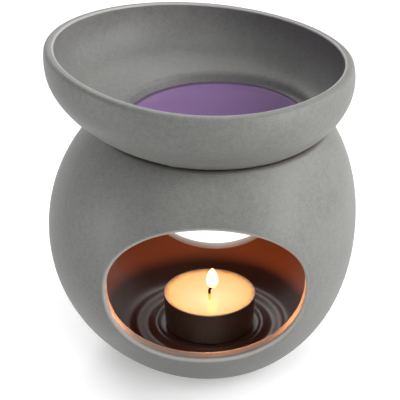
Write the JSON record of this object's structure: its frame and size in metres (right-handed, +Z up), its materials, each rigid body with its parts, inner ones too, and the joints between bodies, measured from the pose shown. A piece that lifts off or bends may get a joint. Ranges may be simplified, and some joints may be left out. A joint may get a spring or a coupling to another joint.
{
  "type": "oil burner",
  "caption": "Hollow round stoneware burner with a large front opening, a tealight on its floor and a loose shallow dish of scented water on top.",
  "frame": {"origin": "on the table, under the middle of the ball's widest section, which is the bottom centre of the whole object's box", "axes": "+Z up, -Y out of the large front opening, +X to the right seen from the front"},
  "size_m": [0.1242, 0.1204, 0.1361],
  "materials": {
    "grey_stoneware": "unglazed, fine matte grain",
    "lilac_water": "still, coloured liquid",
    "cup_metal": "thin pressed metal",
    "wax": "soft wax, lit from within",
    "clear_wax": "clear molten wax",
    "wick_cotton": "braided cotton, burnt at its tip",
    "tinned_steel": "thin pressed metal",
    "flame_light": "glowing"
  },
  "bodies": {
    "burner": {"burner_body": "grey_stoneware"},
    "dish": {"oil_dish": "grey_stoneware", "scented_water": "lilac_water"},
    "tealight": {"tealight_cup": "cup_metal", "tealight_wax": "wax", "molten_wax": "clear_wax", "wick": "wick_cotton", "wick_sustainer": "tinned_steel", "flame": "flame_light"}
  },
  "joints": [
    {"name": "dish_lift", "type": "slide", "parent": "burner", "child": "dish", "axis": [0, 0, 1], "range_m": [0, 0.09]},
    {"name": "tealight_out", "type": "slide", "parent": "burner", "child": "tealight", "axis": [0, -0.829, 0.5592], "range_m": [0, 0.1]}
  ]
}
